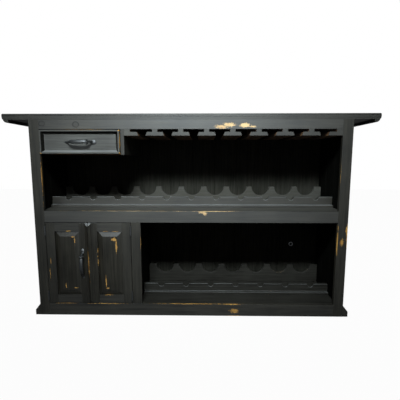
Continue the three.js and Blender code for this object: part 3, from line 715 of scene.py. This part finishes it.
# %% Forged pulls
PULL_STATIONS = [
    (-0.0825, 0.0010, 0.00, 0.0020, 0.0008), (-0.0790, 0.0016, 0.00, 0.0046, 0.0014),
    (-0.0700, 0.0022, -0.10, 0.0058, 0.0020), (-0.0630, 0.0045, -0.60, 0.0054, 0.0028),
    (-0.0570, 0.0110, -0.90, 0.0062, 0.0038), (-0.0480, 0.0215, -0.65, 0.0080, 0.0046),
    (-0.0320, 0.0292, -0.25, 0.0098, 0.0053), (-0.0100, 0.0322, 0.00, 0.0104, 0.0056),
    (0.0150, 0.0320, 0.05, 0.0098, 0.0055), (0.0330, 0.0300, 0.20, 0.0084, 0.0050),
    (0.0400, 0.0272, 0.15, 0.0074, 0.0048), (0.0408, 0.0264, 0.00, 0.0126, 0.0124),
    (0.0413, 0.0262, 0.00, 0.0130, 0.0128), (0.0467, 0.0262, 0.00, 0.0130, 0.0128),
    (0.0472, 0.0260, 0.00, 0.0126, 0.0124), (0.0480, 0.0238, 0.60, 0.0060, 0.0048),
    (0.0555, 0.0140, 0.95, 0.0056, 0.0046), (0.0605, 0.0065, 0.60, 0.0066, 0.0042),
    (0.0645, 0.0034, 0.00, 0.0100, 0.0034), (0.0705, 0.0036, 0.00, 0.0118, 0.0036),
    (0.0765, 0.0030, 0.00, 0.0102, 0.0030), (0.0810, 0.0020, 0.00, 0.0058, 0.0020),
    (0.0825, 0.0014, 0.00, 0.0020, 0.0012),
]
RING_SIDES = 12
ROUNDING_LEVEL = 2
FOOT_REACH = 0.0042


def forged_pull(node, turn, sunk=0.0):
    low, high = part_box(node)
    centre = Vector(((low.x + high.x) / 2, front_y, (low.z + high.z) / 2))
    stand = Matrix.Translation(centre) @ Matrix.Rotation(turn, 4, "Y")
    upright = Matrix.Rotation(math.pi / 2, 4, "Y")
    bm = bmesh.new()
    last = []
    for along, out, tilt, wide, thick in PULL_STATIONS:
        reach = out - sunk if out < FOOT_REACH else out
        place = stand @ Matrix.Translation((along, -reach, 0.0)) @ Matrix.Rotation(tilt, 4, "Z")
        shape = place @ upright @ Matrix.Diagonal((wide, thick, 1.0, 1.0))
        ring = bmesh.ops.create_circle(bm, cap_ends=not last, segments=RING_SIDES, radius=1.0, matrix=shape)
        edges = list({e for v in ring["verts"] for e in v.link_edges})
        if last:
            bmesh.ops.bridge_loops(bm, edges=last + edges)
        last = edges
    bmesh.ops.holes_fill(bm, edges=last)
    bmesh.ops.recalc_face_normals(bm, faces=bm.faces)
    piece = finish_piece(bm, node + "_forged", [black_iron], body_of(node), [node])
    round_off = piece.modifiers.new("round_off", "SUBSURF")
    round_off.levels = ROUNDING_LEVEL
    round_off.render_levels = ROUNDING_LEVEL
    print(piece.name, "stations", len(PULL_STATIONS))
    return piece


forged_pull("drawer_pull", 0.0, FIELD_SUNK)
forged_pull("door_pull", -math.pi / 2)

# %% [markdown]
# The butt hinges keep the shapes that the frame gives them, leaves, knuckles and pins. New meshes would
# add nothing at their size, so they only get the iron finish: a CAD node's own mesh is never changed.

# %% Hinges
leaves = [node for name, node in frame["nodes"].items() if "_leaf_" in name]
for leaf in leaves:
    leaf.data.materials.clear()
    leaf.data.materials.append(black_iron)
print("hinge leaves", len(leaves))

# %% [markdown]
# A small ring trims the cord hole in the back of the lower bay. A torus could be added whole, but
# spinning a circle once round the hole's axis keeps to one operator and closes the ring by merging its
# ends. The board inside the ring is so dark that it reads as the hole.

# %% Grommet
GROMMET_PLACE = Vector((0.627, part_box("customer_panel")[0].y, 0.301))
GROMMET_RADIUS = 0.011
GROMMET_ROUND = 0.0025
GROMMET_SIDES = 10
GROMMET_STEPS = 28


def grommet():
    bm = bmesh.new()
    start = Matrix.Translation(GROMMET_PLACE + Vector((GROMMET_RADIUS, 0.0, 0.0)))
    ring = bmesh.ops.create_circle(bm, segments=GROMMET_SIDES, radius=GROMMET_ROUND, matrix=start)
    edges = list({e for v in ring["verts"] for e in v.link_edges})
    bmesh.ops.spin(
        bm, geom=edges, cent=GROMMET_PLACE, axis=(0.0, 1.0, 0.0), angle=2 * math.pi, steps=GROMMET_STEPS,
        use_merge=True
    )
    bmesh.ops.recalc_face_normals(bm, faces=bm.faces)
    return finish_piece(bm, "cord_hole_ring", [grey_iron], "carcass")


cord_ring = grommet()
print(cord_ring.name, "faces", len(cord_ring.data.polygons))

# %% [markdown]
# The counter stands on a pale floor in a pale room. Lamps strong enough to turn the floor white would
# bleach the paint, so the floor and the world show white to the camera by the Is Camera Ray output, and
# light the counter only gently. The black paint would turn grey if it mirrored all that white, so only a
# small share of it is added through Is Glossy Ray.

# %% Floor and room
FLOOR_SIZE = 14.0
FLOOR_SHOWN = 0.975
FLOOR_GREY = (0.20, 0.20, 0.20, 1.0)
WHITE = (1.0, 1.0, 1.0, 1.0)
ROOM_COLOUR = (0.95, 0.97, 1.0, 1.0)
ROOM_LIGHT = 0.05
MIRRORED = 0.05


def seen_directly(tree):
    rays = add_node(tree, "ShaderNodeLightPath").outputs
    mirrored = math_node(tree, "MULTIPLY", rays["Is Glossy Ray"], MIRRORED)
    seen = math_node(tree, "MAXIMUM", rays["Is Camera Ray"], mirrored)
    return math_node(tree, "MAXIMUM", seen, rays["Is Transmission Ray"])


def pale_floor():
    material = bpy.data.materials.new("pale_floor")
    material.use_nodes = True
    tree = material.node_tree
    tree.nodes.clear()
    matt = add_node(tree, "ShaderNodeBsdfDiffuse", {"Color": FLOOR_GREY})
    white = add_node(tree, "ShaderNodeEmission", {"Color": WHITE})
    shown = math_node(tree, "MULTIPLY", seen_directly(tree), FLOOR_SHOWN)
    both = add_node(tree, "ShaderNodeMixShader", {0: shown, 1: matt.outputs[0], 2: white.outputs[0]})
    output = add_node(tree, "ShaderNodeOutputMaterial")
    tree.links.new(both.outputs[0], output.inputs[0])
    bm = bmesh.new()
    bmesh.ops.create_grid(bm, x_segments=1, y_segments=1, size=FLOOR_SIZE / 2)
    mesh = bpy.data.meshes.new("floor")
    bm.to_mesh(mesh)
    bm.free()
    mesh.materials.append(material)
    floor = bpy.data.objects.new("floor", mesh)
    scene.collection.objects.link(floor)


def pale_room():
    world = bpy.data.worlds.new("pale_room")
    world.use_nodes = True
    tree = world.node_tree
    tree.nodes.clear()
    room = add_node(tree, "ShaderNodeBackground", {"Color": ROOM_COLOUR, "Strength": ROOM_LIGHT})
    white = add_node(tree, "ShaderNodeBackground", {"Color": WHITE, "Strength": 1.0})
    seen = seen_directly(tree)
    both = add_node(tree, "ShaderNodeMixShader", {0: seen, 1: room.outputs[0], 2: white.outputs[0]})
    output = add_node(tree, "ShaderNodeOutputWorld")
    tree.links.new(both.outputs[0], output.inputs[0])
    scene.world = world


pale_floor()
pale_room()
print("floor", FLOOR_SIZE, "room light", ROOM_LIGHT)

# %% [markdown]
# A lamp high in front, with a narrow spread, lights the upper boards and lets the shelves fall dark, as
# in the photograph. A stronger lamp would give the boards their grey sheen but also wash out the colours,
# so the sheen comes from a wide card in front that is seen only in reflections, never as diffuse light.
# A fill behind the counter keeps the customer's side readable from there.

# %% Lamps
KEY_PLACE = Vector((-0.10, front_y - 1.85, 2.35))
KEY_TARGET = Vector((0.02, front_y, 1.10))
KEY_SIZE = (0.85, 0.30)
KEY_POWER = 14.5
KEY_COLOUR = (0.80, 0.93, 1.0)
KEY_SPREAD = math.radians(62)
CARD_PLACE = Vector((-0.15, front_y - 2.6, 1.25))
CARD_TARGET = Vector((-0.15, front_y, 1.25))
CARD_SIZE = (2.8, 1.5)
CARD_POWER = 60.0
CARD_COLOUR = (0.86, 0.95, 1.0)
FILL_PLACE = Vector((0.5, 2.5, 2.1))
FILL_TARGET = Vector((0.0, 0.2, 0.6))
FILL_SIZE = (1.8, 1.2)
FILL_POWER = 60.0
FILL_COLOUR = (1.0, 1.0, 1.0)
FULL_SPREAD = math.pi


def area_lamp(name, place, target, size, power, colour, spread=FULL_SPREAD):
    lamp = bpy.data.lights.new(name, "AREA")
    lamp.shape = "RECTANGLE"
    lamp.size = size[0]
    lamp.size_y = size[1]
    lamp.energy = power
    lamp.spread = spread
    lamp.color = colour
    lit = bpy.data.objects.new(name, lamp)
    lit.location = place
    lit.rotation_euler = (target - place).to_track_quat("-Z", "Y").to_euler()
    lit.visible_camera = False
    scene.collection.objects.link(lit)
    return lit


area_lamp("key_light", KEY_PLACE, KEY_TARGET, KEY_SIZE, KEY_POWER, KEY_COLOUR, KEY_SPREAD)
card = area_lamp("sheen_card", CARD_PLACE, CARD_TARGET, CARD_SIZE, CARD_POWER, CARD_COLOUR)
card.visible_diffuse = False
area_lamp("back_fill", FILL_PLACE, FILL_TARGET, FILL_SIZE, FILL_POWER, FILL_COLOUR)
scene.view_settings.view_transform = "Standard"
print("lit from", [round(v, 2) for v in KEY_PLACE])
